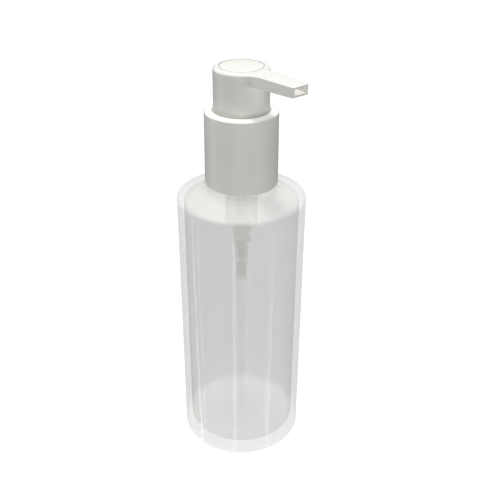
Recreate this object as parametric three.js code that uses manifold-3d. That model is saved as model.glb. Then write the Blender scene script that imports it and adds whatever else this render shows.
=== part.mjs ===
// Soap pump dispenser: a clear round bottle with a screw-on lotion pump.
// Millimetres, +Z up the bottle's axis, +X towards the spout, origin at the centre of the flat base.

import * as THREE from 'three';
import { mergeVertices } from 'three/addons/utils/BufferGeometryUtils.js';
import Module from 'manifold-3d';

const wasm = await Module();
wasm.setup();

// ---------------------------------------------------------------- driving dimensions

const GAP = 0.3; // clearance between neighbours that touch or slide on the real pump
const ROUND_STEPS = 48; // facets round the large pieces
const SMALL_STEPS = 28; // facets round the pieces inside the pump
const OVERLAP = 0.5; // how far two joined bodies run into each other
const PAST = 1; // how far a cutting tool runs past the face that it opens

const bottle = {
	radius: 30,
	wall: 3.1,
	floor: 5.5,
	baseEdge: 1.5,
	rimHeight: 135.4,
	rimEdge: 1.1,
	cavityHeight: 134.0,
	innerEdge: 1.4,
	shoulderSlope: THREE.MathUtils.degToRad( 20 ),
	shoulderFoot: 15.5, // radius where the shoulder's cone turns up into the neck
	neckFootRise: 0.6,
};

const neck = { root: 12.55, bore: 9.6, top: 152.5 };

const thread = {
	pitch: 4.233, // six turns to the inch, the pitch of 28 mm bottle finishes
	turns: 1.25,
	start: 144.6,
	bead: 1.15,
	closureBead: 1.05,
	stepsPerTurn: 20,
	sides: 8,
};

const collar = {
	bottom: 142.1,
	footRadius: 16.8,
	top: 176.1,
	headRadius: 16.6,
	edge: 0.5,
	crown: 176.6, // the top ring rises a little towards its hole
	eye: 13.35,
	wall: 1.2,
};

const closure = { bottom: 142.7, outer: 15.3, bore: 14.05, webBottom: 155.9, webTop: 157.9, eye: 9.3 };

const gasket = { inner: 8.1, outer: 12.4, bottom: 152.8, top: 153.8 };

const housing = {
	barrel: 7.74,
	barrelBore: 6.8,
	barrelBottom: 119.7,
	floorTop: 121.0,
	flangeRadius: 13.0,
	flangeBottom: 154.1,
	flangeTop: 155.6,
	upstand: 8.8,
	top: 162.0,
	throat: 4.5,
	throatBore: 3.6,
	throatBottom: 109.5,
	throatFloor: 110.3,
	throatChamfer: 0.8,
	cage: 3.2,
	cageBore: 2.4,
	cageBottom: 99.0,
	seatTop: 102.6,
	seatBottom: 101.5,
	seatBore: 1.3,
	seatFloor: 97.5,
	stub: 2.7,
	stubBottom: 94.7,
	socket: 2.54,
	socketBore: 2.15,
	socketBottom: 89.6,
	ventHeight: 147.0,
	ventRadius: 0.5,
	ventLength: 3,
};

const chaplet = {
	bottom: 158.2,
	floorTop: 159.7,
	hubBore: 9.1,
	hub: 10.6,
	roofBottom: 162.3,
	roofTop: 163.8,
	stemHole: 3.8,
	guideBore: 12.7,
	guide: 14.2,
	guideTop: 174.4,
	lip: 13.05,
	lipShoulder: 176.4,
	lipTopRadius: 12.88,
	lipTop: 177.9,
};

const seal = { inner: 3.8, outer: 6.45, bottom: 160.4, top: 162.0 };

const stem = { radius: 3.5, bore: 2.0, bottom: 153.0, top: 189.6 };

const pin = {
	spigot: 1.7,
	spigotTop: 160.0,
	neck: 2.2,
	neckTop: 152.7,
	shoulder: 3.4,
	shoulderTop: 142.9,
	shoulderBottom: 141.9,
	rodRadius: 3.2,
	rib: 1.0,
	rodBottom: 122.4,
	bore: 0.9,
	boreBottom: 143.6,
	portRadius: 0.6,
	portHeight: 144.3,
};

const piston = {
	hubBore: 2.5,
	hub: 3.9,
	bottom: 143.2,
	top: 151.5,
	webBottom: 146.0,
	webTop: 147.2,
	seal: 6.6,
	sealWall: 0.7,
	lipChamfer: 0.4,
	sealBottom: 143.7,
	sealTop: 150.2,
};

const ball = { radius: 2.0, height: 103.45 };

const retainer = { radius: 2.1, hole: 0.9, notch: 0.55, bottom: 107.3, top: 108.9, notches: 3 };

const dipTube = { radius: 1.85, bore: 1.25, bottom: 8.0, top: 97.2 };

const spring = {
	coilRadius: 8.0,
	wire: 0.49,
	bottom: 164.1,
	top: 190.4,
	activeTurns: 6,
	endPitch: 1.2,
	stepsPerTurn: 16,
	sides: 6,
};

const head = {
	radius: 12.45,
	top: 195.8,
	rimReach: 2.5, // the rounded rim reaches this far in from the side
	rimDrop: 1.3, // and starts this far below the top
	underside: 190.7,
	skirtBottom: 172.5,
	skirtBore: 11.3,
	boss: 5.3,
	bossBottom: 176.5,
	feed: 2.0,
};

const spout = {
	length: 36.35,
	tipHalfWidth: 4.16,
	rootHalfWidth: 5.78,
	rootFillet: 5.0,
	edge: 0.15, // rounding of the top edges, once the head's rim has faded out
	blendStart: 9.8, // the rim fades out between these distances from the axis
	blendEnd: 19.0,
	tipUnderside: 191.55,
	channelHalfWidth: 3.3,
	channelBottom: 192.4,
	channelTop: 194.95,
};

const disc = { radius: 9.58, pocket: 9.88, bottom: 194.8, pocketFloor: 194.5, edge: 0.2 };

// ---------------------------------------------------------------- materials

const whitePlastic = new THREE.MeshStandardMaterial( { color: 0xecebe6, roughness: 0.38, metalness: 0 } );
const naturalPlastic = new THREE.MeshStandardMaterial( { color: 0xe6e6e4, roughness: 0.3, metalness: 0 } );
const clearPlastic = new THREE.MeshStandardMaterial( {
	color: 0xf0f2f0, roughness: 0.08, metalness: 0, transparent: true, opacity: 0.3,
} );
const tubePlastic = new THREE.MeshStandardMaterial( {
	color: 0xf4f5f3, roughness: 0.2, metalness: 0, transparent: true, opacity: 0.25,
} );
const softSeal = new THREE.MeshStandardMaterial( { color: 0xdcdcd8, roughness: 0.7, metalness: 0 } );
const springSteel = new THREE.MeshStandardMaterial( { color: 0xb9bcc0, roughness: 0.3, metalness: 1 } );
const glass = new THREE.MeshStandardMaterial( { color: 0xdfe6e4, roughness: 0.05, metalness: 0 } );

// ---------------------------------------------------------------- geometry helpers

// A point of a turned profile: radius first, then height.
const at = ( radius, height ) => new THREE.Vector2( radius, height );

// A quarter (or part) round of a profile, from one angle to another about its centre.
function round( radius, height, size, fromDegrees, toDegrees, steps = 4 ) {

	const points = [];
	for ( let i = 0; i <= steps; i ++ ) {

		const degrees = THREE.MathUtils.lerp( fromDegrees, toDegrees, i / steps );
		const angle = THREE.MathUtils.degToRad( degrees );
		points.push( at( radius + size * Math.cos( angle ), height + size * Math.sin( angle ) ) );

	}

	return points;

}

// Keeps only position and index, with shared corners merged, as a closed mesh needs.
function welded( geometry ) {

	const bare = new THREE.BufferGeometry();
	bare.setAttribute( 'position', geometry.getAttribute( 'position' ) );
	bare.setIndex( geometry.getIndex() );
	return mergeVertices( bare, 1e-4 );

}

// Signed volume, negative when the faces point inwards.
function signedVolume( geometry ) {

	const position = geometry.getAttribute( 'position' );
	const index = geometry.getIndex();
	const corners = [ new THREE.Vector3(), new THREE.Vector3(), new THREE.Vector3() ];
	let volume = 0;
	for ( let i = 0; i < index.count; i += 3 ) {

		corners.forEach( ( corner, k ) => corner.fromBufferAttribute( position, index.getX( i + k ) ) );
		volume += corners[ 0 ].dot( corners[ 1 ].clone().cross( corners[ 2 ] ) ) / 6;

	}

	return volume;

}

// A welded copy whose faces point out, with the flat triangles at poles and seams left out.
function closedBody( geometry ) {

	const body = welded( geometry );
	const index = body.getIndex();
	const flip = signedVolume( body ) < 0;
	const kept = [];
	for ( let i = 0; i < index.count; i += 3 ) {

		const [ a, b, c ] = [ index.getX( i ), index.getX( i + 1 ), index.getX( i + 2 ) ];
		if ( a === b || b === c || c === a ) continue;
		kept.push( ...( flip ? [ a, c, b ] : [ a, b, c ] ) );

	}

	body.setIndex( kept );
	return body;

}

// A solid of revolution about Z.
function turned( profile, steps = ROUND_STEPS ) {

	const geometry = new THREE.LatheGeometry( profile, steps );
	geometry.rotateX( Math.PI / 2 );
	return closedBody( geometry );

}

// A profile that returns to its first point, for a ring that the axis doesn't touch.
const loop = ( profile ) => [ ...profile, profile[ 0 ].clone() ];

// A plain ring or, with inner radius 0, a plain disc.
function ring( inner, outer, bottom, top, steps = ROUND_STEPS ) {

	const corners = [ at( inner, bottom ), at( outer, bottom ), at( outer, top ), at( inner, top ) ];
	return turned( inner > 0 ? loop( corners ) : corners, steps );

}

// An outline in the XY plane drawn straight up between two heights.
function prism( shape, bottom, top, curveSegments = 12 ) {

	const geometry = new THREE.ExtrudeGeometry( shape, {
		depth: top - bottom,
		bevelEnabled: false,
		curveSegments,
	} );
	geometry.translate( 0, 0, bottom );
	return closedBody( geometry );

}

// A circle drawn as a regular polygon, the section of a bead or a wire.
function roundSection( radius, sides ) {

	const points = [];
	for ( let i = 0; i < sides; i ++ ) {

		const angle = 2 * Math.PI * i / sides;
		points.push( at( radius * Math.cos( angle ), radius * Math.sin( angle ) ) );

	}

	return new THREE.Shape( points );

}

// A right-handed helix about Z whose height is a function of the turns made.
class Helix extends THREE.Curve {

	constructor( radius, turns, heightAt ) {

		super();
		this.radius = radius;
		this.turns = turns;
		this.heightAt = heightAt;

	}

	getPoint( t, target = new THREE.Vector3() ) {

		const angle = 2 * Math.PI * this.turns * t;
		const height = this.heightAt( this.turns * t );
		return target.set( this.radius * Math.cos( angle ), this.radius * Math.sin( angle ), height );

	}

	// Steps stay even in angle, so the curve isn't measured again by length.
	getPointAt( t, target ) {

		return this.getPoint( t, target );

	}

	getTangentAt( t, target ) {

		return this.getTangent( t, target );

	}

}

function coil( helix, sectionRadius, sides, stepsPerTurn ) {

	const geometry = new THREE.ExtrudeGeometry( roundSection( sectionRadius, sides ), {
		steps: Math.round( helix.turns * stepsPerTurn ),
		bevelEnabled: false,
		extrudePath: helix,
	} );
	return closedBody( geometry );

}

function toSolid( geometry ) {

	const vertProperties = new Float32Array( geometry.getAttribute( 'position' ).array );
	const triVerts = new Uint32Array( geometry.getIndex().array );
	return new wasm.Manifold( new wasm.Mesh( { numProp: 3, vertProperties, triVerts } ) );

}

function toGeometry( solid ) {

	const mesh = solid.getMesh();
	const geometry = new THREE.BufferGeometry();
	geometry.setAttribute( 'position', new THREE.BufferAttribute( mesh.vertProperties, 3 ) );
	geometry.setIndex( new THREE.BufferAttribute( mesh.triVerts, 1 ) );
	return geometry;

}

const joined = ( ...bodies ) => bodies.map( toSolid ).reduce( ( sum, next ) => sum.add( next ) );

const cut = ( solid, ...tools ) => tools.map( toSolid ).reduce( ( rest, tool ) => rest.subtract( tool ), solid );

const group = new THREE.Group();
group.name = 'soap_pump_dispenser';

function addPart( name, geometry, material ) {

	const mesh = new THREE.Mesh( geometry, material );
	mesh.name = name;
	mesh.geometry.computeVertexNormals();
	group.add( mesh );

}

// ---------------------------------------------------------------- bottle and closure

// The raised bead of a bottle thread, at the height it has on the neck or half a pitch above it.
function threadBead( radius, bead, lift ) {

	const rise = ( turns ) => thread.start + lift + thread.pitch * turns;
	return coil( new Helix( radius, thread.turns, rise ), bead, thread.sides, thread.stepsPerTurn );

}

function bottleGeometry() {

	const slope = Math.tan( bottle.shoulderSlope );
	const degrees = THREE.MathUtils.radToDeg( bottle.shoulderSlope );
	const cavity = bottle.radius - bottle.wall;
	const rimStart = bottle.radius - bottle.rimEdge * ( 1 - Math.sin( bottle.shoulderSlope ) );
	const shoulderHeight = ( radius ) => bottle.rimHeight + ( rimStart - radius ) * slope;
	const ceilingHeight = ( radius ) => bottle.cavityHeight + ( cavity - bottle.innerEdge - radius ) * slope;
	const rimRound = round(
		bottle.radius - bottle.rimEdge, bottle.rimHeight - bottle.rimEdge * Math.cos( bottle.shoulderSlope ),
		bottle.rimEdge, 0, 90 - degrees );
	const body = turned( [
		at( 0, 0 ),
		...round( bottle.radius - bottle.baseEdge, bottle.baseEdge, bottle.baseEdge, - 90, 0 ),
		...rimRound,
		at( bottle.shoulderFoot, shoulderHeight( bottle.shoulderFoot ) ),
		at( neck.root, shoulderHeight( bottle.shoulderFoot ) + bottle.neckFootRise ),
		at( neck.root, neck.top ),
		at( neck.bore, neck.top ),
		at( neck.bore, ceilingHeight( neck.bore ) ),
		...round(
			cavity - bottle.innerEdge, bottle.cavityHeight - bottle.innerEdge, bottle.innerEdge, 90 - degrees, 0 ),
		...round( cavity - bottle.innerEdge, bottle.floor + bottle.innerEdge, bottle.innerEdge, 0, - 90 ),
		at( 0, bottle.floor ),
	] );
	return toGeometry( joined( body, threadBead( neck.root, thread.bead, 0 ) ) );

}

// The threaded inner cap: a skirt with a helical bead inside, and a web that presses the pump down.
function closureGeometry() {

	const body = turned( loop( [
		at( closure.bore, closure.bottom ),
		at( closure.outer, closure.bottom ),
		at( closure.outer, closure.webTop ),
		at( closure.eye, closure.webTop ),
		at( closure.eye, closure.webBottom ),
		at( closure.bore, closure.webBottom ),
	] ) );
	const bead = threadBead( closure.bore, thread.closureBead, thread.pitch / 2 );
	return toGeometry( joined( body, bead ) );

}

// The smooth outer sleeve, slightly narrower at its top, with a gently crowned ring round the pump's guide.
function collarGeometry() {

	const bore = closure.outer + GAP;
	return turned( loop( [
		at( bore, collar.bottom ),
		at( collar.footRadius, collar.bottom ),
		...round( collar.headRadius - collar.edge, collar.top - collar.edge, collar.edge, 0, 90 ),
		at( collar.eye, collar.crown ),
		at( collar.eye, collar.crown - collar.wall ),
		at( bore, collar.top - collar.wall ),
	] ) );

}

// ---------------------------------------------------------------- pump body

function housingGeometry() {

	const h = housing;
	const body = turned( loop( [
		at( h.socketBore, h.socketBottom ),
		at( h.socket, h.socketBottom ),
		at( h.socket, h.stubBottom ),
		at( h.stub, h.stubBottom ),
		at( h.stub, h.cageBottom ),
		at( h.cage, h.cageBottom ),
		at( h.cage, h.throatBottom ),
		at( h.throat, h.throatBottom + h.throatChamfer ),
		at( h.throat, h.barrelBottom ),
		at( h.barrel, h.barrelBottom ),
		at( h.barrel, h.flangeBottom ),
		at( h.flangeRadius, h.flangeBottom ),
		at( h.flangeRadius, h.flangeTop ),
		at( h.upstand, h.flangeTop ),
		at( h.upstand, h.top ),
		at( h.barrelBore, h.top ),
		at( h.barrelBore, h.floorTop ),
		at( h.throatBore, h.floorTop ),
		at( h.throatBore, h.throatFloor ),
		at( h.cageBore, h.throatFloor ),
		at( h.cageBore, h.seatTop ),
		at( h.seatBore, h.seatBottom ),
		at( h.seatBore, h.seatFloor ),
		at( h.socketBore, h.seatFloor ),
	] ), SMALL_STEPS );
	return toGeometry( cut( toSolid( body ), ventHole() ) );

}

// The small hole that lets air into the bottle, through the barrel's wall on the side away from the spout.
function ventHole() {

	const geometry = new THREE.CylinderGeometry( housing.ventRadius, housing.ventRadius, housing.ventLength, 12 );
	geometry.rotateZ( Math.PI / 2 );
	geometry.translate( - housing.barrel, 0, housing.ventHeight );
	return closedBody( geometry );

}

// The fixed cup above the closure: it snaps over the housing, carries the spring and guides the head.
function chapletGeometry() {

	const c = chaplet;
	return turned( loop( [
		at( c.hubBore, c.bottom ),
		at( c.guide, c.bottom ),
		at( c.guide, c.guideTop ),
		at( c.lip, c.guideTop ),
		at( c.lip, c.lipShoulder ),
		at( c.lipTopRadius, c.lipTop ),
		at( c.guideBore, c.lipTop ),
		at( c.guideBore, c.floorTop ),
		at( c.hub, c.floorTop ),
		at( c.hub, c.roofTop ),
		at( c.stemHole, c.roofTop ),
		at( c.stemHole, c.roofBottom ),
		at( c.hubBore, c.roofBottom ),
	] ) );

}

function ballGeometry() {

	const geometry = new THREE.SphereGeometry( ball.radius, 16, 10 );
	geometry.translate( 0, 0, ball.height );
	return closedBody( geometry );

}

// A ring with notches round its bore, so that liquid still passes when the ball is lifted against it.
function retainerGeometry() {

	const outline = new THREE.Shape();
	outline.absarc( 0, 0, retainer.radius, 0, 2 * Math.PI );
	const hole = new THREE.Path();
	const petalReach = ( retainer.hole + retainer.radius ) / 2;
	const corners = [];
	for ( let i = 0; i < retainer.notches; i ++ ) {

		const middle = 2 * Math.PI * i / retainer.notches;
		const side = Math.asin( retainer.notch / retainer.hole );
		const tip = Math.atan( retainer.notch / petalReach );
		const reach = Math.hypot( petalReach, retainer.notch );
		corners.push( [ retainer.hole, middle - side ], [ reach, middle - tip ] );
		corners.push( [ reach, middle + tip ], [ retainer.hole, middle + side ] );

	}

	hole.setFromPoints( corners.map( ( [ r, angle ] ) => at( r * Math.cos( angle ), r * Math.sin( angle ) ) ) );
	hole.closePath();
	outline.holes.push( hole );
	return prism( outline, retainer.bottom, retainer.top, SMALL_STEPS / 2 );

}

// The return spring: closed end turns with open turns between them.
function springGeometry() {

	const length = spring.top - spring.bottom - 2 * spring.wire;
	const openPitch = ( length - 2 * spring.endPitch ) / spring.activeTurns;
	const turns = spring.activeTurns + 2;
	const heightAt = ( turn ) => {

		const first = Math.min( turn, 1 ) * spring.endPitch;
		const middle = THREE.MathUtils.clamp( turn - 1, 0, spring.activeTurns ) * openPitch;
		const last = Math.max( turn - 1 - spring.activeTurns, 0 ) * spring.endPitch;
		return spring.bottom + spring.wire + first + middle + last;

	};

	const helix = new Helix( spring.coilRadius, turns, heightAt );
	return coil( helix, spring.wire, spring.sides, spring.stepsPerTurn );

}

// ---------------------------------------------------------------- plunger

// The pin pressed into the stem's foot: a hollow neck that the piston slides on, and a ribbed rod below.
function pinGeometry() {

	const upper = turned( [
		at( 0, pin.shoulderBottom ),
		at( pin.shoulder, pin.shoulderBottom ),
		at( pin.shoulder, pin.shoulderTop ),
		at( pin.neck, pin.shoulderTop ),
		at( pin.neck, pin.neckTop ),
		at( pin.spigot, pin.neckTop ),
		at( pin.spigot, pin.spigotTop ),
		at( 0, pin.spigotTop ),
	], SMALL_STEPS );
	const bore = ring( 0, pin.bore, pin.boreBottom, pin.spigotTop + PAST, 16 );
	const port = new THREE.CylinderGeometry( pin.portRadius, pin.portRadius, 3 * pin.neck, 10 );
	const ports = [ 0, Math.PI / 2 ].map( ( angle ) => {

		const tool = port.clone();
		tool.rotateZ( angle );
		tool.translate( 0, 0, pin.portHeight );
		return closedBody( tool );

	} );
	const rod = prism( crossOutline( pin.rodRadius, pin.rib ), pin.rodBottom, pin.shoulderBottom + OVERLAP );
	return toGeometry( cut( joined( upper, rod ), bore, ...ports ) );

}

// A plus-shaped outline: four ribs of one thickness that meet on the axis.
function crossOutline( reach, thickness ) {

	const half = thickness / 2;
	const points = [];
	for ( let i = 0; i < 4; i ++ ) {

		const angle = i * Math.PI / 2;
		const centre = new THREE.Vector2();
		points.push( at( half, half ).rotateAround( centre, angle - Math.PI / 2 ) );
		points.push( at( reach, - half ).rotateAround( centre, angle ) );
		points.push( at( reach, half ).rotateAround( centre, angle ) );

	}

	return new THREE.Shape( points );

}

// A sliding piston: a hub on the pin, a thin web, and a double lip that wipes the barrel.
function pistonGeometry() {

	const p = piston;
	const inside = p.seal - p.sealWall;
	return turned( loop( [
		at( p.hubBore, p.bottom ),
		at( p.hub, p.bottom ),
		at( p.hub, p.webBottom ),
		at( inside, p.webBottom ),
		at( inside, p.sealBottom + p.lipChamfer ),
		at( p.seal, p.sealBottom ),
		at( p.seal, p.sealTop ),
		at( inside, p.sealTop - p.lipChamfer ),
		at( inside, p.webTop ),
		at( p.hub, p.webTop ),
		at( p.hub, p.top ),
		at( p.hubBore, p.top ),
	] ), SMALL_STEPS );

}

// ---------------------------------------------------------------- head

// One side of the head seen from above, from the spout's tip round to the back: points with outward normals.
// The spout's straight wall meets the head's circle through a concave fillet.
function headSide() {

	const taper = Math.atan2( spout.rootHalfWidth - spout.tipHalfWidth, spout.length - head.radius );
	const out = at( Math.sin( taper ), Math.cos( taper ) );
	const forward = at( Math.cos( taper ), - Math.sin( taper ) );
	const tip = at( spout.length, spout.tipHalfWidth );
	const offset = out.dot( tip ) + spout.rootFillet;
	const advance = Math.sqrt( ( head.radius + spout.rootFillet ) ** 2 - offset ** 2 );
	const centre = out.clone().multiplyScalar( offset ).addScaledVector( forward, advance );
	const foot = centre.clone().addScaledVector( out, - spout.rootFillet );
	const side = [ { point: tip, normal: out.clone().add( at( 1, 0 ) ) } ];
	const wallSteps = 6;
	for ( let i = 1; i < wallSteps; i ++ ) {

		side.push( { point: tip.clone().lerp( foot, i / wallSteps ), normal: out } );

	}

	const addArc = ( middle, radius, from, to, steps, sign ) => {

		for ( let i = 0; i <= steps; i ++ ) {

			const angle = THREE.MathUtils.lerp( from, to, i / steps );
			const direction = at( Math.cos( angle ), Math.sin( angle ) );
			const point = middle.clone().addScaledVector( direction, radius );
			side.push( { point, normal: direction.multiplyScalar( sign ) } );

		}

	};

	const towardsWall = Math.atan2( - out.y, - out.x );
	const towardsHead = Math.atan2( - centre.y, - centre.x );
	addArc( centre, spout.rootFillet, towardsWall, towardsHead, 6, - 1 );
	const facet = 2 * Math.PI / ROUND_STEPS;
	const firstFacet = Math.ceil( centre.angle() / facet );
	const facets = ROUND_STEPS / 2 - firstFacet;
	addArc( new THREE.Vector2(), head.radius, firstFacet * facet, Math.PI, facets, 1 );
	return side;

}

// The whole outline, with every point pulled in by a distance that depends on how far along the spout it is.
function headOutline( insetAt ) {

	const side = headSide();
	const mirrored = side.slice( 0, - 1 ).reverse().map( ( { point, normal } ) => ( {
		point: at( point.x, - point.y ),
		normal: at( normal.x, - normal.y ),
	} ) );
	return [ ...side, ...mirrored ].map( ( { point, normal } ) => {

		return { place: point.clone().addScaledVector( normal, - insetAt( point.x ) ), along: point.x };

	} );

}

// The flat-topped head and spout. The head's rounded rim fades to a crisp edge along the spout.
function headSlab() {

	const fade = ( x ) => THREE.MathUtils.smoothstep( x, spout.blendStart, spout.blendEnd );
	const reach = ( x ) => THREE.MathUtils.lerp( head.rimReach, spout.edge, fade( x ) );
	const drop = ( x ) => THREE.MathUtils.lerp( head.rimDrop, spout.edge, fade( x ) );
	const layers = [ headOutline( () => 0 ).map( ( { place } ) => [ place.x, place.y, head.underside ] ) ];
	const rimSteps = 4;
	for ( let i = 0; i <= rimSteps; i ++ ) {

		const turn = Math.PI / 2 * i / rimSteps;
		layers.push( headOutline( ( x ) => reach( x ) * ( 1 - Math.cos( turn ) ) ).map( ( { place, along } ) => {

			return [ place.x, place.y, head.top - drop( along ) * ( 1 - Math.sin( turn ) ) ];

		} ) );

	}

	return stacked( layers );

}

// A closed body from outlines of the same number of points, one above the other.
function stacked( layers ) {

	const count = layers[ 0 ].length;
	const faces = [];
	for ( let level = 0; level < layers.length - 1; level ++ ) {

		for ( let i = 0; i < count; i ++ ) {

			const next = ( i + 1 ) % count;
			const [ a, b ] = [ level * count + i, level * count + next ];
			faces.push( a, b, b + count, a, b + count, a + count );

		}

	}

	const addLid = ( level, order ) => {

		const outline = layers[ level ].map( ( [ x, y ] ) => at( x, y ) );
		for ( const triangle of THREE.ShapeUtils.triangulateShape( outline, [] ) ) {

			faces.push( ...order.map( ( k ) => level * count + triangle[ k ] ) );

		}

	};

	addLid( 0, [ 2, 1, 0 ] );
	addLid( layers.length - 1, [ 0, 1, 2 ] );
	const geometry = new THREE.BufferGeometry();
	geometry.setAttribute( 'position', new THREE.Float32BufferAttribute( layers.flat( 2 ), 3 ) );
	geometry.setIndex( faces );
	return closedBody( geometry );

}

// The duct in the spout, open at the tip and over the stem.
function channelGeometry() {

	const half = spout.channelHalfWidth;
	const past = spout.length + PAST;
	const outline = new THREE.Shape( [ at( 0, - half ), at( past, - half ), at( past, half ), at( 0, half ) ] );
	return prism( outline, spout.channelBottom, spout.channelTop );

}

// A long wedge under the spout: it makes the spout a little thinner towards its tip.
function undersideWedge() {

	const start = head.radius;
	const past = spout.length + PAST;
	const drop = ( spout.tipUnderside - head.underside ) * ( past - start ) / ( spout.length - start );
	const width = 2 * ( spout.rootHalfWidth + PAST );
	const side = new THREE.Shape( [ at( start, - PAST ), at( past, - PAST ), at( past, drop ), at( start, 0 ) ] );
	const geometry = new THREE.ExtrudeGeometry( side, { depth: width, bevelEnabled: false } );
	geometry.translate( 0, 0, - width / 2 );
	geometry.rotateX( Math.PI / 2 );
	geometry.translate( 0, 0, head.underside );
	return closedBody( geometry );

}

function headGeometry() {

	const socketRadius = stem.radius + GAP;
	const skirt = ring( head.skirtBore, head.radius, head.skirtBottom, head.underside + OVERLAP );
	const boss = ring( socketRadius, head.boss, head.bossBottom, head.underside + OVERLAP, SMALL_STEPS );
	const pocket = ring( 0, disc.pocket, disc.pocketFloor, head.top + PAST );
	const socket = ring( 0, socketRadius, head.bossBottom - PAST, stem.top + GAP, SMALL_STEPS );
	const feed = ring( 0, head.feed, stem.top, disc.pocketFloor + OVERLAP, SMALL_STEPS );
	const body = joined( headSlab(), skirt, boss );
	return toGeometry( cut( body, pocket, socket, feed, channelGeometry(), undersideWedge() ) );

}

// The round cover pressed into the head's top, over the duct.
function discGeometry() {

	return turned( [
		at( 0, disc.bottom ),
		at( disc.radius, disc.bottom ),
		...round( disc.radius - disc.edge, head.top - disc.edge, disc.edge, 0, 90, 2 ),
		at( 0, head.top ),
	] );

}

// ---------------------------------------------------------------- assembly

addPart( 'bottle', bottleGeometry(), clearPlastic );
addPart( 'closure_cap', closureGeometry(), whitePlastic );
addPart( 'collar_shell', collarGeometry(), whitePlastic );
addPart( 'neck_gasket', ring( gasket.inner, gasket.outer, gasket.bottom, gasket.top ), softSeal );
addPart( 'pump_housing', housingGeometry(), naturalPlastic );
addPart( 'chaplet', chapletGeometry(), whitePlastic );
addPart( 'stem_seal', ring( seal.inner, seal.outer, seal.bottom, seal.top, SMALL_STEPS ), softSeal );
addPart( 'ball_retainer', retainerGeometry(), naturalPlastic );
addPart( 'dip_tube', ring( dipTube.bore, dipTube.radius, dipTube.bottom, dipTube.top, 24 ), tubePlastic );
addPart( 'return_spring', springGeometry(), springSteel );
addPart( 'stem', ring( stem.bore, stem.radius, stem.bottom, stem.top, SMALL_STEPS ), whitePlastic );
addPart( 'valve_pin', pinGeometry(), naturalPlastic );
addPart( 'piston', pistonGeometry(), naturalPlastic );
addPart( 'inlet_ball', ballGeometry(), glass );
addPart( 'actuator_head', headGeometry(), whitePlastic );
addPart( 'head_disc', discGeometry(), whitePlastic );

export default group;
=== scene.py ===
import math

import bmesh
import bpy
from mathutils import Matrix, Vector


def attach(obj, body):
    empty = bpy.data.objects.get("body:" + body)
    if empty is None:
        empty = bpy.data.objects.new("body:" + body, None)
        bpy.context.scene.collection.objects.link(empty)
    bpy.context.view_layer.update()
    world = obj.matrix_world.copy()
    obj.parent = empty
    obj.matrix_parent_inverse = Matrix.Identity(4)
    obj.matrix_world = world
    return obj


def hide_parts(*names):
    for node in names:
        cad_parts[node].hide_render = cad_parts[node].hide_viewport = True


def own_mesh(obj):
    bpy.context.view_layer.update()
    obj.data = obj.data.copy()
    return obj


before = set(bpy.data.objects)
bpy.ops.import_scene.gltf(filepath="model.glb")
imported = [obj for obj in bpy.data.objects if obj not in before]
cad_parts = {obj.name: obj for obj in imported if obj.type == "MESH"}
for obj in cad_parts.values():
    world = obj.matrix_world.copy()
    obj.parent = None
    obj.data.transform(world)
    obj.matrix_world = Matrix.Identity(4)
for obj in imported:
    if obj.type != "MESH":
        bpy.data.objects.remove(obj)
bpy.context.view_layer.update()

# ---------------------------------------------------------------- sizes, in millimetres

MM = 0.001
ROUND = 160  # facets round the large pieces
FINE = 72  # facets round the small pieces
TAU = 2 * math.pi

BOTTLE_RADIUS = 30.0
BOTTLE_WALL = 3.1
BOTTLE_FLOOR = 5.5
RIM_HEIGHT = 135.4
CAVITY_HEIGHT = 134.0
SHOULDER_SLOPE = math.tan(math.radians(20))
NECK_ROOT = 12.55
NECK_BORE = 9.6
NECK_TOP = 152.5
THREAD_PITCH = 4.233
THREAD_TURNS = 1.25
THREAD_START = 144.6
THREAD_BEAD = 1.15
CLOSURE_BEAD = 1.05

HEAD_RADIUS = 12.45
HEAD_TOP = 195.8
HEAD_UNDERSIDE = 190.7
HEAD_SKIRT_BOTTOM = 172.5
HEAD_SKIRT_BORE = 11.3
RIM_REACH = 2.6
RIM_DROP = 1.3
SPOUT_LENGTH = 36.35
SPOUT_TIP_HALF_WIDTH = 4.16
SPOUT_ROOT_HALF_WIDTH = 5.78
SPOUT_ROOT_FILLET = 5.0
SPOUT_EDGE = 0.15
SPOUT_TIP_UNDERSIDE = 191.55
BLEND_START = 9.8
BLEND_END = 19.0
CHANNEL_HALF_WIDTH = 3.3
CHANNEL_BOTTOM = 192.4
CHANNEL_TOP = 194.95
DISC_RADIUS = 9.58
DISC_POCKET = 9.88

SPRING_RADIUS = 8.0
SPRING_WIRE = 0.49
SPRING_BOTTOM = 164.17
SPRING_TOP = 190.35
SPRING_ACTIVE_TURNS = 6
SPRING_END_PITCH = 1.2

SIDE_BRIGHT_AZIMUTH = 300  # degrees from +X, a little to the left of the camera
SIDE_LEAN = 0.2  # how much the ring of lights leans that way
SUN_WIDTH = 14  # degrees across, as seen from the object
STRIP_AZIMUTHS = (17, 225, 306)  # degrees from +X
STRIP_SIZE = (0.06, 0.9)  # metres
STRIP_DISTANCE = 0.8
STRIP_HEIGHT = -0.35
STRIP_AIM = 0.1  # height on the axis that the strips face
STRIP_POWER = 1.1


# ---------------------------------------------------------------- camera

def camera():
    azimuth = math.radians(49.9)
    elevation = math.radians(30)
    distance = 0.37044
    aim = Vector((0, 0, 0.105))
    back = Vector((
        math.sin(azimuth) * math.cos(elevation),
        -math.cos(azimuth) * math.cos(elevation),
        math.sin(elevation),
    ))
    lens = bpy.data.cameras.new("camera")
    lens.lens = 54.89
    lens.shift_x = 0.0171
    lens.clip_start = 0.01
    seen_from = bpy.data.objects.new("camera", lens)
    seen_from.location = aim + back * distance
    seen_from.rotation_mode = "QUATERNION"
    seen_from.rotation_quaternion = (-back).to_track_quat("-Z", "Y")
    bpy.context.scene.collection.objects.link(seen_from)
    bpy.context.scene.camera = seen_from


camera()


# ---------------------------------------------------------------- mesh helpers

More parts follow.
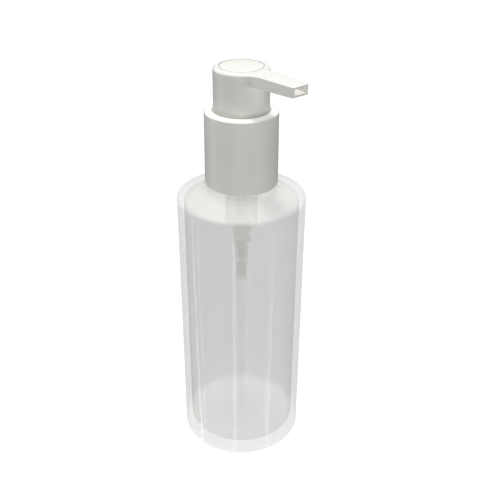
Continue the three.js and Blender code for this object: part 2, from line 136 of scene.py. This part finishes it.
def corner_arc(before, corner, after, radius, steps=6):
    """The points of a fillet of that radius at one corner of an outline."""
    back = (before - corner).normalized()
    ahead = (after - corner).normalized()
    half = back.angle(ahead) / 2
    reach = radius / math.tan(half)
    centre = corner + (back + ahead).normalized() * (radius / math.sin(half))
    start = corner + back * reach - centre
    end = corner + ahead * reach - centre
    sweep = start.angle_signed(end)
    points = []
    for i in range(steps + 1):
        angle = -sweep * i / steps
        turned = Vector((
            start.x * math.cos(angle) - start.y * math.sin(angle),
            start.x * math.sin(angle) + start.y * math.cos(angle),
        ))
        points.append(centre + turned)
    return points


def rounded(corners):
    """A profile from (radius, height, fillet) corners. Corners on the axis stay sharp."""
    points = []
    count = len(corners)
    for i, (radius, height, fillet) in enumerate(corners):
        here = Vector((radius, height))
        if not fillet:
            points.append(here)
            continue
        before = Vector(corners[i - 1][:2])
        after = Vector(corners[(i + 1) % count][:2])
        points += corner_arc(before, here, after, fillet)
    return points


def new_piece(name, mesh_data, sharp_degrees=32):
    """Turns a bmesh into a shown object with smooth faces and crisp edges."""
    bmesh.ops.remove_doubles(mesh_data, verts=mesh_data.verts, dist=1e-7)
    bmesh.ops.recalc_face_normals(mesh_data, faces=mesh_data.faces)
    limit = math.radians(sharp_degrees)
    for face in mesh_data.faces:
        face.smooth = True
    for edge in mesh_data.edges:
        edge.smooth = len(edge.link_faces) == 2 and edge.calc_face_angle(0) < limit
    mesh = bpy.data.meshes.new(name)
    mesh_data.to_mesh(mesh)
    mesh_data.free()
    piece = bpy.data.objects.new(name, mesh)
    bpy.context.scene.collection.objects.link(piece)
    return piece


def add_turned(mesh_data, profile, steps):
    """Adds a solid of revolution. A profile off the axis at both ends closes on itself."""
    rings = []
    for point in profile:
        if point.x < 1e-6:
            rings.append([mesh_data.verts.new((0, 0, point.y * MM))])
            continue
        ring = []
        for i in range(steps):
            angle = TAU * i / steps
            x = point.x * math.cos(angle) * MM
            y = point.x * math.sin(angle) * MM
            ring.append(mesh_data.verts.new((x, y, point.y * MM)))
        rings.append(ring)
    closed = len(rings[0]) > 1 and len(rings[-1]) > 1
    pairs = list(zip(rings, rings[1:] + (rings[:1] if closed else [])))
    for low, high in pairs:
        for i in range(steps):
            j = (i + 1) % steps
            corners = [low[i % len(low)], low[j % len(low)], high[j % len(high)], high[i % len(high)]]
            unique = list(dict.fromkeys(corners))
            if len(unique) > 2:
                mesh_data.faces.new(unique)


def turned_piece(name, corners, steps=ROUND):
    data = bmesh.new()
    add_turned(data, rounded(corners), steps)
    return new_piece(name, data)


def add_coil(mesh_data, radius, turns, height_at, size_at, steps_per_turn, sides):
    """Adds a closed helical bead or wire; height and section size are functions of the turns made."""
    steps = round(turns * steps_per_turn)
    rings = []
    for i in range(steps + 1):
        turn = turns * i / steps
        angle = TAU * turn
        size = size_at(turn)
        ring = []
        for k in range(sides):
            around = TAU * k / sides
            reach = radius + size * math.cos(around)
            x = reach * math.cos(angle) * MM
            y = reach * math.sin(angle) * MM
            z = (height_at(turn) + size * math.sin(around)) * MM
            ring.append(mesh_data.verts.new((x, y, z)))
        rings.append(ring)
    for low, high in zip(rings, rings[1:]):
        for k in range(sides):
            j = (k + 1) % sides
            mesh_data.faces.new((low[k], low[j], high[j], high[k]))
    mesh_data.faces.new(rings[0])
    mesh_data.faces.new(rings[-1])


def cut(piece, tool, operation="DIFFERENCE"):
    """Applies one exact boolean and deletes the tool."""
    modifier = piece.modifiers.new("cut", "BOOLEAN")
    modifier.solver = "EXACT"
    modifier.operation = operation
    modifier.object = tool
    graph = bpy.context.evaluated_depsgraph_get()
    mesh = bpy.data.meshes.new_from_object(piece.evaluated_get(graph))
    piece.modifiers.clear()
    piece.data = mesh
    bpy.data.objects.remove(tool)


def reshade(piece, sharp_degrees=32):
    """Smooth faces and crisp edges again, after booleans have made new edges."""
    data = bmesh.new()
    data.from_mesh(piece.data)
    bmesh.ops.remove_doubles(data, verts=data.verts, dist=5e-7)
    bmesh.ops.dissolve_degenerate(data, edges=data.edges, dist=5e-7)
    limit = math.radians(sharp_degrees)
    for face in data.faces:
        face.smooth = True
    for edge in data.edges:
        edge.smooth = len(edge.link_faces) == 2 and edge.calc_face_angle(0) < limit
    data.to_mesh(piece.data)
    data.free()


# ---------------------------------------------------------------- materials

def new_material(name):
    material = bpy.data.materials.new(name)
    material.use_nodes = True
    nodes = material.node_tree.nodes
    links = material.node_tree.links
    shader = nodes["Principled BSDF"]
    return material, nodes, links, shader


def add_noise(nodes, links, scale, detail=2.0):
    place = nodes.new("ShaderNodeTexCoord")
    noise = nodes.new("ShaderNodeTexNoise")
    noise.inputs["Scale"].default_value = scale
    noise.inputs["Detail"].default_value = detail
    links.new(place.outputs["Object"], noise.inputs["Vector"])
    return noise


def vary(nodes, links, noise, low, high, socket):
    """Drives a socket from noise, between two values."""
    span = nodes.new("ShaderNodeMapRange")
    span.inputs["To Min"].default_value = low
    span.inputs["To Max"].default_value = high
    links.new(noise.outputs["Fac"], span.inputs["Value"])
    links.new(span.outputs["Result"], socket)


def add_bump(nodes, links, noise, shader, distance):
    bump = nodes.new("ShaderNodeBump")
    bump.inputs["Distance"].default_value = distance
    bump.inputs["Strength"].default_value = 0.5
    links.new(noise.outputs["Fac"], bump.inputs["Height"])
    links.new(bump.outputs["Normal"], shader.inputs["Normal"])


def tint(nodes, links, noise, first, second, shader):
    mix = nodes.new("ShaderNodeMix")
    mix.data_type = "RGBA"
    mix.inputs["A"].default_value = (*first, 1)
    mix.inputs["B"].default_value = (*second, 1)
    links.new(noise.outputs["Fac"], mix.inputs["Factor"])
    links.new(mix.outputs["Result"], shader.inputs["Base Color"])


def white_plastic():
    """Moulded polypropylene: warm white, satin, with a very fine skin texture."""
    material, nodes, links, shader = new_material("white_plastic")
    broad = add_noise(nodes, links, 60)
    tint(nodes, links, broad, (0.80, 0.79, 0.75), (0.815, 0.805, 0.765), shader)
    vary(nodes, links, broad, 0.30, 0.38, shader.inputs["Roughness"])
    skin = add_noise(nodes, links, 2600, 3)
    add_bump(nodes, links, skin, shader, 0.000006)
    shader.inputs["Specular IOR Level"].default_value = 0.3
    return material


def painted_seam_shade():
    """The same plastic made darker and duller: painted shade that stands for the shadow in a fine joint.
    """
    material, nodes, links, shader = new_material("painted_seam_shade")
    noise = add_noise(nodes, links, 400)
    tint(nodes, links, noise, (0.60, 0.595, 0.57), (0.66, 0.655, 0.63), shader)
    vary(nodes, links, noise, 0.5, 0.65, shader.inputs["Roughness"])
    return material


def clear_plastic(name, alpha, colour, roughness):
    material, nodes, links, shader = new_material(name)
    noise = add_noise(nodes, links, 40)
    tint(nodes, links, noise, colour, tuple(c * 0.98 for c in colour), shader)
    vary(nodes, links, noise, roughness * 0.8, roughness * 1.2, shader.inputs["Roughness"])
    shader.inputs["Alpha"].default_value = alpha
    shader.inputs["Specular IOR Level"].default_value = 0.4
    return material


def soft_seal():
    material, nodes, links, shader = new_material("soft_seal")
    noise = add_noise(nodes, links, 900, 3)
    tint(nodes, links, noise, (0.66, 0.66, 0.64), (0.72, 0.72, 0.70), shader)
    vary(nodes, links, noise, 0.6, 0.75, shader.inputs["Roughness"])
    return material


def spring_steel():
    material, nodes, links, shader = new_material("spring_steel")
    noise = add_noise(nodes, links, 700, 2)
    tint(nodes, links, noise, (0.55, 0.56, 0.58), (0.62, 0.63, 0.65), shader)
    vary(nodes, links, noise, 0.22, 0.34, shader.inputs["Roughness"])
    shader.inputs["Metallic"].default_value = 1.0
    return material


def backdrop_material():
    """An evenly lit white sweep that takes only a trace of shadow."""
    material, nodes, links, shader = new_material("backdrop")
    shader.inputs["Base Color"].default_value = (0.06, 0.06, 0.06, 1)
    shader.inputs["Roughness"].default_value = 0.9
    shader.inputs["Specular IOR Level"].default_value = 0.0
    shader.inputs["Emission Color"].default_value = (1, 1, 1, 1)
    shader.inputs["Emission Strength"].default_value = 0.97
    return material


WHITE = white_plastic()
CLEAR = clear_plastic("clear_plastic", 0.27, (0.78, 0.777, 0.755), 0.12)
NATURAL = clear_plastic("natural_plastic", 0.24, (0.90, 0.897, 0.875), 0.3)
TUBE = clear_plastic("clear_tube", 0.04, (0.97, 0.97, 0.95), 0.1)
# Painted shade for the cover's seam: its edge is darkened in colour, not by light.
PAINTED_SEAM_SHADE = painted_seam_shade()
SEAL = soft_seal()
STEEL = spring_steel()
GLASS = clear_plastic("ball_glass", 0.5, (0.75, 0.8, 0.78), 0.03)


def dress(piece, material, slot_name, body, *nodes):
    """Gives a new piece its material and body, and hides the CAD nodes that it stands for. The record slot
    name is not used.
    """
    piece.data.materials.clear()
    piece.data.materials.append(material)
    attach(piece, body)
    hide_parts(*nodes)


# ---------------------------------------------------------------- bottle and closure

def thread_bead(radius, bead, lift):
    """A helical thread that fades out at both ends, at the neck's height or lifted above it."""
    fade = 0.15  # turns
    stub = 0.12  # size left at the very ends

    def size_at(turn):
        left = min(turn, THREAD_TURNS - turn, fade) / fade
        return bead * (stub + (1 - stub) * math.sqrt(left))

    def height_at(turn):
        return THREAD_START + lift + THREAD_PITCH * turn

    data = bmesh.new()
    add_coil(data, radius, THREAD_TURNS, height_at, size_at, 96, 20)
    return new_piece("tool", data)


def bottle():
    """The outer skin up to the neck's top, then the inner skin back down to the floor."""
    cavity = BOTTLE_RADIUS - BOTTLE_WALL
    foot = 15.5  # radius where the shoulder turns up into the neck
    rim_start = BOTTLE_RADIUS - 0.7
    ceiling_start = cavity - 0.9

    def shoulder_at(radius):
        return RIM_HEIGHT + (rim_start - radius) * SHOULDER_SLOPE

    def ceiling_at(radius):
        return CAVITY_HEIGHT + (ceiling_start - radius) * SHOULDER_SLOPE

    data = bmesh.new()
    add_turned(data, rounded([
        (0, 0, 0),
        (BOTTLE_RADIUS, 0, 1.5),
        (BOTTLE_RADIUS, shoulder_at(BOTTLE_RADIUS) - 0.05, 1.6),
        (foot, shoulder_at(foot) - 0.05, 1.2),
        (NECK_ROOT, shoulder_at(foot) + 0.6, 0.8),
        (NECK_ROOT, NECK_TOP, 0.3),
        (NECK_BORE, NECK_TOP, 0.3),
        (NECK_BORE, ceiling_at(NECK_BORE), 1.0),
        (cavity, ceiling_at(cavity), 2.4),
        (cavity, BOTTLE_FLOOR, 1.4),
        (0, BOTTLE_FLOOR, 0),
    ]), ROUND)
    body = new_piece("bottle_body", data)
    cut(body, thread_bead(NECK_ROOT, THREAD_BEAD, 0), "UNION")
    reshade(body)
    return body


def threaded_cap():
    bore = 14.05
    cap = turned_piece("threaded_cap", [
        (bore, 142.7, 0.15),
        (15.3, 142.7, 0.2),
        (15.3, 157.9, 0.4),
        (9.3, 157.9, 0.2),
        (9.3, 155.9, 0.2),
        (bore, 155.9, 0.2),
    ])
    cut(cap, thread_bead(bore + 0.03, CLOSURE_BEAD, THREAD_PITCH / 2), "UNION")
    reshade(cap)
    return cap


def neck_gasket():
    return turned_piece("flat_gasket", [
        (8.1, 152.8, 0.2),
        (12.4, 152.8, 0.2),
        (12.4, 153.8, 0.2),
        (8.1, 153.8, 0.2),
    ])


dress(bottle(), CLEAR, "clear_plastic", "bottle_body", "bottle")
dress(threaded_cap(), WHITE, "white_plastic", "closure_body", "closure_cap")
dress(neck_gasket(), SEAL, "soft_seal", "pump_body", "neck_gasket")


# ---------------------------------------------------------------- collar and pump body

def collar_shell():
    return turned_piece("collar_sleeve", [
        (15.6, 142.1, 0.25),
        (16.8, 142.1, 0.25),
        (16.6, 176.1, 0.55),
        (13.08, 176.6, 0.1),
        (13.08, 175.4, 0.1),
        (15.6, 174.9, 0.3),
    ])


def chaplet():
    return turned_piece("guide_cup", [
        (9.1, 158.2, 0),
        (14.2, 158.2, 0.3),
        (14.2, 174.4, 0.3),
        (13.0, 174.4, 0),
        (13.0, 176.45, 0.1),
        (12.68, 177.9, 0.05),
        (12.56, 177.9, 0.05),
        (12.56, 159.7, 0),
        (10.6, 159.7, 0),
        (10.6, 163.8, 0.3),
        (3.8, 163.8, 0.2),
        (3.8, 162.3, 0),
        (9.1, 162.3, 0),
    ])


def pump_housing():
    return turned_piece("pump_barrel", [
        (2.15, 89.6, 0),
        (2.54, 89.6, 0.1),
        (2.54, 94.7, 0),
        (2.7, 94.7, 0.05),
        (2.7, 99.0, 0.2),
        (3.2, 99.0, 0.2),
        (3.2, 109.5, 0.3),
        (4.5, 110.3, 0.3),
        (4.5, 119.7, 0.4),
        (7.74, 119.7, 0.5),
        (7.74, 154.1, 0.5),
        (13.0, 154.1, 0),
        (13.0, 155.6, 0.2),
        (8.8, 155.6, 0.4),
        (8.8, 162.0, 0.3),
        (6.8, 162.0, 0.2),
        (6.8, 121.0, 0.6),
        (3.6, 121.0, 0.3),
        (3.6, 110.3, 0.3),
        (2.4, 110.3, 0.1),
        (2.4, 102.6, 0),
        (1.3, 101.5, 0),
        (1.3, 97.5, 0),
        (2.15, 97.5, 0),
    ], FINE)


def dip_tube():
    return turned_piece("suction_tube", [
        (1.25, 8.0, 0),
        (1.85, 8.0, 0.1),
        (1.85, 97.2, 0.1),
        (1.25, 97.2, 0),
    ], FINE)


def stem_seal():
    return turned_piece("wiper_ring", [
        (3.8, 160.4, 0.2),
        (6.45, 160.4, 0.25),
        (6.45, 162.0, 0.25),
        (3.8, 162.0, 0.2),
    ], FINE)


dress(collar_shell(), WHITE, "white_plastic", "closure_body", "collar_shell")
dress(chaplet(), WHITE, "white_plastic", "pump_body", "chaplet")
dress(pump_housing(), NATURAL, "natural_plastic", "pump_body", "pump_housing")
dress(dip_tube(), TUBE, "clear_tube", "pump_body", "dip_tube")
dress(stem_seal(), SEAL, "soft_seal", "pump_body", "stem_seal")


# ---------------------------------------------------------------- head

def head_side():
    """One side of the head from above, tip to back, as (point, outward normal) pairs."""
    taper = math.atan2(SPOUT_ROOT_HALF_WIDTH - SPOUT_TIP_HALF_WIDTH, SPOUT_LENGTH - HEAD_RADIUS)
    out = Vector((math.sin(taper), math.cos(taper)))
    forward = Vector((math.cos(taper), -math.sin(taper)))
    tip = Vector((SPOUT_LENGTH, SPOUT_TIP_HALF_WIDTH))
    offset = out.dot(tip) + SPOUT_ROOT_FILLET
    advance = math.sqrt((HEAD_RADIUS + SPOUT_ROOT_FILLET) ** 2 - offset**2)
    centre = out * offset + forward * advance
    foot = centre - out * SPOUT_ROOT_FILLET
    side = [(tip, out + Vector((1, 0)))]
    wall_steps = 24
    for i in range(1, wall_steps):
        side.append((tip.lerp(foot, i / wall_steps), out))

    def arc(middle, radius, start, end, steps, sign):
        for i in range(steps + 1):
            angle = start + (end - start) * i / steps
            direction = Vector((math.cos(angle), math.sin(angle)))
            side.append((middle + direction * radius, direction * sign))

    towards_head = math.atan2(-centre.y, -centre.x)
    arc(centre, SPOUT_ROOT_FILLET, math.atan2(-out.y, -out.x), towards_head, 20, -1)
    facet = TAU / ROUND
    first = math.ceil(math.atan2(centre.y, centre.x) / facet)
    arc(Vector((0, 0)), HEAD_RADIUS, first * facet, math.pi, ROUND // 2 - first, 1)
    return side


def head_outline(inset_at):
    """The whole outline pulled in by inset_at(x), as (point, x before the pull)."""
    side = head_side()
    mirror = Vector((1, -1))
    mirrored = [(point * mirror, normal * mirror) for point, normal in side[-2::-1]]
    return [(point - normal * inset_at(point.x), point.x) for point, normal in side + mirrored]


def head_slab():
    """The flat-topped head and spout. The head's rounded rim fades to a crisp edge on the spout."""

    def fade(x):
        t = min(max((x - BLEND_START) / (BLEND_END - BLEND_START), 0), 1)
        return t * t * (3 - 2 * t)

    def drop(x):
        return RIM_DROP + (SPOUT_EDGE - RIM_DROP) * fade(x)

    def reach(x):
        return RIM_REACH + (SPOUT_EDGE - RIM_REACH) * fade(x)

    layers = [[(point, HEAD_UNDERSIDE) for point, x in head_outline(lambda x: 0)]]
    rim_steps = 9
    for i in range(rim_steps + 1):
        turn = math.pi / 2 * i / rim_steps
        outline = head_outline(lambda x: reach(x) * (1 - math.cos(turn)))
        layers.append([(point, HEAD_TOP - drop(x) * (1 - math.sin(turn))) for point, x in outline])
    data = bmesh.new()
    rings = []
    for layer in layers:
        rings.append([data.verts.new((point.x * MM, point.y * MM, z * MM)) for point, z in layer])
    for low, high in zip(rings, rings[1:]):
        count = len(low)
        for i in range(count):
            j = (i + 1) % count
            data.faces.new((low[i], low[j], high[j], high[i]))
    data.faces.new(rings[0])
    data.faces.new(rings[-1])
    return new_piece("press_head", data)


def tool_prism(outline, place):
    """A cutting tool: an outline at both ends of a straight push, placed by place(a, b, end)."""
    data = bmesh.new()
    low = [data.verts.new(place(a, b, 0) * MM) for a, b in outline]
    high = [data.verts.new(place(a, b, 1) * MM) for a, b in outline]
    count = len(outline)
    for i in range(count):
        j = (i + 1) % count
        data.faces.new((low[i], low[j], high[j], high[i]))
    data.faces.new(low)
    data.faces.new(high)
    return new_piece("tool", data)


def channel_tool():
    past = SPOUT_LENGTH + 1
    half = CHANNEL_HALF_WIDTH
    heights = (CHANNEL_BOTTOM, CHANNEL_TOP)
    return tool_prism(
        [(0, -half), (past, -half), (past, half), (0, half)],
        lambda x, y, end: Vector((x, y, heights[end])))


def wedge_tool():
    past = SPOUT_LENGTH + 1
    rise = (SPOUT_TIP_UNDERSIDE - HEAD_UNDERSIDE) / (SPOUT_LENGTH - HEAD_RADIUS) * (past - HEAD_RADIUS)
    corners = [(HEAD_RADIUS, -1), (past, -1), (past, rise), (HEAD_RADIUS, 0)]
    half = SPOUT_ROOT_HALF_WIDTH + 1
    return tool_prism(
        corners, lambda x, z, end: Vector((x, half * (1 - 2 * end), HEAD_UNDERSIDE + z)))


def press_head():
    head = head_slab()
    inside = HEAD_UNDERSIDE + 0.5
    cut(head, turned_piece("tool", [
        (HEAD_SKIRT_BORE, HEAD_SKIRT_BOTTOM, 0.3),
        (HEAD_RADIUS, HEAD_SKIRT_BOTTOM, 0.3),
        (HEAD_RADIUS, inside, 0),
        (HEAD_SKIRT_BORE, inside, 0),
    ]), "UNION")
    cut(head, turned_piece("tool", [
        (3.8, 176.5, 0),
        (5.3, 176.5, 0.2),
        (5.3, inside, 0),
        (3.8, inside, 0),
    ], FINE), "UNION")
    cut(head, turned_piece("tool", [
        (0, 194.5, 0),
        (DISC_POCKET, 194.5, 0),
        (DISC_POCKET, HEAD_TOP + 1, 0),
        (0, HEAD_TOP + 1, 0),
    ]))
    cut(head, turned_piece("tool", [
        (0, 188, 0),
        (2.0, 188, 0),
        (2.0, 194.9, 0),
        (0, 194.9, 0),
    ], FINE))
    cut(head, channel_tool())
    cut(head, wedge_tool())
    reshade(head)
    return head


def head_disc():
    return turned_piece("head_cover", [
        (0, 194.8, 0),
        (DISC_RADIUS, 194.8, 0.1),
        (DISC_RADIUS, HEAD_TOP, 0.05),
        (0, HEAD_TOP, 0),
    ])


def paint_seam_shade(disc):
    """The cover's edge gets a darker, duller material than its top: painted shade, so that its seam shows
    as a fine line.
    """
    disc.data.materials.append(PAINTED_SEAM_SHADE)
    # Upright faces, which make up the cover's edge, take the painted seam shade.
    for face in disc.data.polygons:
        if abs(face.normal.z) < 0.7:
            face.material_index = 1


cover = head_disc()
dress(press_head(), WHITE, "white_plastic", "head", "actuator_head")
dress(cover, WHITE, "white_plastic", "head", "head_disc")
paint_seam_shade(cover)


# ---------------------------------------------------------------- return spring

def return_spring():
    """Six open turns between two closed end turns."""
    length = SPRING_TOP - SPRING_BOTTOM - 2 * SPRING_WIRE
    open_pitch = (length - 2 * SPRING_END_PITCH) / SPRING_ACTIVE_TURNS

    def height_at(turn):
        first = min(turn, 1) * SPRING_END_PITCH
        middle = min(max(turn - 1, 0), SPRING_ACTIVE_TURNS) * open_pitch
        last = max(turn - 1 - SPRING_ACTIVE_TURNS, 0) * SPRING_END_PITCH
        return SPRING_BOTTOM + SPRING_WIRE + first + middle + last

    data = bmesh.new()
    add_coil(data, SPRING_RADIUS, SPRING_ACTIVE_TURNS + 2, height_at, lambda turn: SPRING_WIRE, 48, 12)
    return new_piece("coil_spring", data)


spring = return_spring()
dress(spring, STEEL, "spring_steel", "pump_body", "return_spring")
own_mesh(spring)


# ---------------------------------------------------------------- plunger, piston and valves

def hollow_stem():
    return turned_piece("hollow_stem", [
        (2.0, 153.0, 0.1),
        (3.5, 153.0, 0.2),
        (3.5, 189.6, 0.3),
        (2.0, 189.6, 0.2),
    ], FINE)


def cross_outline(reach, thickness):
    """A plus-shaped outline: four ribs that meet on the axis."""
    half = thickness / 2
    points = []
    for i in range(4):
        cosine = round(math.cos(i * TAU / 4))
        sine = round(math.sin(i * TAU / 4))
        for x, y in ((half, -half), (reach, -half), (reach, half)):
            points.append((x * cosine - y * sine, x * sine + y * cosine))
    return points


def sliding_pin():
    """The pin in the stem's foot: a bored neck with cross ports, and a ribbed rod below."""
    pin = turned_piece("sliding_pin", [
        (0, 141.9, 0),
        (3.4, 141.9, 0.15),
        (3.4, 142.9, 0.15),
        (2.2, 142.9, 0.1),
        (2.2, 152.7, 0.1),
        (1.7, 152.7, 0.05),
        (1.7, 160.0, 0.2),
        (0, 160.0, 0),
    ], FINE)
    rod_reach = 3.2
    rib = 1.0
    rod_heights = (122.4, 142.4)
    port_radius = 0.6
    port_height = 144.3
    port_length = 6
    cut(pin, tool_prism(
        cross_outline(rod_reach, rib), lambda x, y, end: Vector((x, y, rod_heights[end]))), "UNION")
    cut(pin, turned_piece("tool", [(0, 143.6, 0), (0.9, 143.6, 0), (0.9, 161.0, 0), (0, 161.0, 0)], FINE))
    steps = 24
    angles = [TAU * i / steps for i in range(steps)]
    port = [(port_radius * math.cos(angle), port_radius * math.sin(angle)) for angle in angles]
    cut(pin, tool_prism(port, lambda a, b, end: Vector((port_length * (end - 0.5), a, port_height + b))))
    cut(pin, tool_prism(port, lambda a, b, end: Vector((a, port_length * (end - 0.5), port_height + b))))
    reshade(pin)
    return pin


def lip_piston():
    return turned_piece("lip_piston", [
        (2.5, 143.2, 0.1),
        (3.9, 143.2, 0.2),
        (3.9, 146.0, 0.15),
        (5.9, 146.0, 0.2),
        (5.9, 144.1, 0.1),
        (6.6, 143.7, 0.05),
        (6.6, 150.2, 0.05),
        (5.9, 149.8, 0.1),
        (5.9, 147.2, 0.2),
        (3.9, 147.2, 0.15),
        (3.9, 151.5, 0.2),
        (2.5, 151.5, 0.1),
    ], FINE)


def check_ball():
    radius = 2.0
    height = 103.45
    steps = 24
    profile = []
    for i in range(steps + 1):
        angle = math.pi * i / steps
        profile.append(Vector((radius * math.sin(angle), height - radius * math.cos(angle))))
    data = bmesh.new()
    add_turned(data, profile, 2 * steps)
    return new_piece("check_ball", data)


def finish_cad(node, material):
    """A CAD node whose shape is right stays, with a better material."""
    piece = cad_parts[node]
    if not piece.material_slots:
        piece.data.materials.append(material)
    for material_slot in piece.material_slots:
        material_slot.material = material


dress(hollow_stem(), WHITE, "white_plastic", "plunger", "stem")
dress(sliding_pin(), NATURAL, "natural_plastic", "plunger", "valve_pin")
dress(lip_piston(), NATURAL, "natural_plastic", "piston_body", "piston")
dress(check_ball(), GLASS, "ball_glass", "ball_body", "inlet_ball")
finish_cad("ball_retainer", NATURAL)


# ---------------------------------------------------------------- stage and light

def stage():
    """A white floor that sweeps up into walls and a ceiling. It shows as backdrop and lights nothing."""
    reach = 4000
    sweep = 1500
    below_base = 0.0002  # metres, so that the floor and the bottle's base don't share a plane
    data = bmesh.new()
    add_turned(data, rounded([
        (0, 0, 0),
        (reach, 0, sweep),
        (reach, reach, sweep),
        (0, reach, 0),
    ]), ROUND)
    backdrop = new_piece("backdrop", data)
    backdrop.data.materials.append(backdrop_material())
    backdrop.location.z = -below_base
    backdrop.visible_diffuse = False
    backdrop.visible_glossy = False
    backdrop.visible_shadow = False


def sun(name, strength, direction, shadows=True):
    """A soft distant light. Without shadows it stands for the light that a white room gives back."""
    lamp = bpy.data.lights.new(name, "SUN")
    lamp.energy = strength
    lamp.angle = math.radians(SUN_WIDTH)
    lamp.use_shadow = shadows
    lamp_object = bpy.data.objects.new(name, lamp)
    lamp_object.rotation_mode = "QUATERNION"
    lamp_object.rotation_quaternion = Vector(direction).to_track_quat("-Z", "Y")
    lamp_object.visible_glossy = False
    bpy.context.scene.collection.objects.link(lamp_object)


def side_lights(count, strength, height_degrees):
    """An even ring of fill lights, a little stronger on the camera's side."""
    height = math.radians(height_degrees)
    for i in range(count):
        around = TAU * i / count
        towards_bright = math.cos(around - math.radians(SIDE_BRIGHT_AZIMUTH))
        ray = Vector((
            -math.cos(around) * math.cos(height),
            -math.sin(around) * math.cos(height),
            -math.sin(height),
        ))
        sun(f"side_{i}", strength * (1 + SIDE_LEAN * towards_bright), ray)


def strip_light(name, azimuth_degrees):
    """A tall narrow light beside and below the object. It draws a soft upright band on the round walls."""
    lamp = bpy.data.lights.new(name, "AREA")
    lamp.shape = "RECTANGLE"
    lamp.size, lamp.size_y = STRIP_SIZE
    lamp.energy = STRIP_POWER
    azimuth = math.radians(azimuth_degrees)
    place = Vector((
        STRIP_DISTANCE * math.cos(azimuth),
        STRIP_DISTANCE * math.sin(azimuth),
        STRIP_HEIGHT,
    ))
    lamp_object = bpy.data.objects.new(name, lamp)
    lamp_object.location = place
    lamp_object.rotation_mode = "QUATERNION"
    lamp_object.rotation_quaternion = (Vector((0, 0, STRIP_AIM)) - place).to_track_quat("-Z", "Y")
    lamp_object.visible_camera = False
    bpy.context.scene.collection.objects.link(lamp_object)


def studio_world():
    world = bpy.data.worlds.new("studio")
    bpy.context.scene.world = world
    world.use_nodes = True
    nodes = world.node_tree.nodes
    nodes["Background"].inputs["Color"].default_value = (1, 1, 1, 1)
    nodes["Background"].inputs["Strength"].default_value = 0.02


stage()
studio_world()
sun("overhead", 2.2, (0, 0, -1))
sun("overhead_fill", 2.15, (0, 0, -1), shadows=False)
side_lights(5, 0.75, -20)
for number, azimuth in enumerate(STRIP_AZIMUTHS):
    strip_light(f"strip_{number}", azimuth)
bpy.context.scene.view_settings.view_transform = "Standard"
# The bottle and the pump inside it are more see-through layers than the usual limit of 8.
bpy.context.scene.cycles.transparent_max_bounces = 32
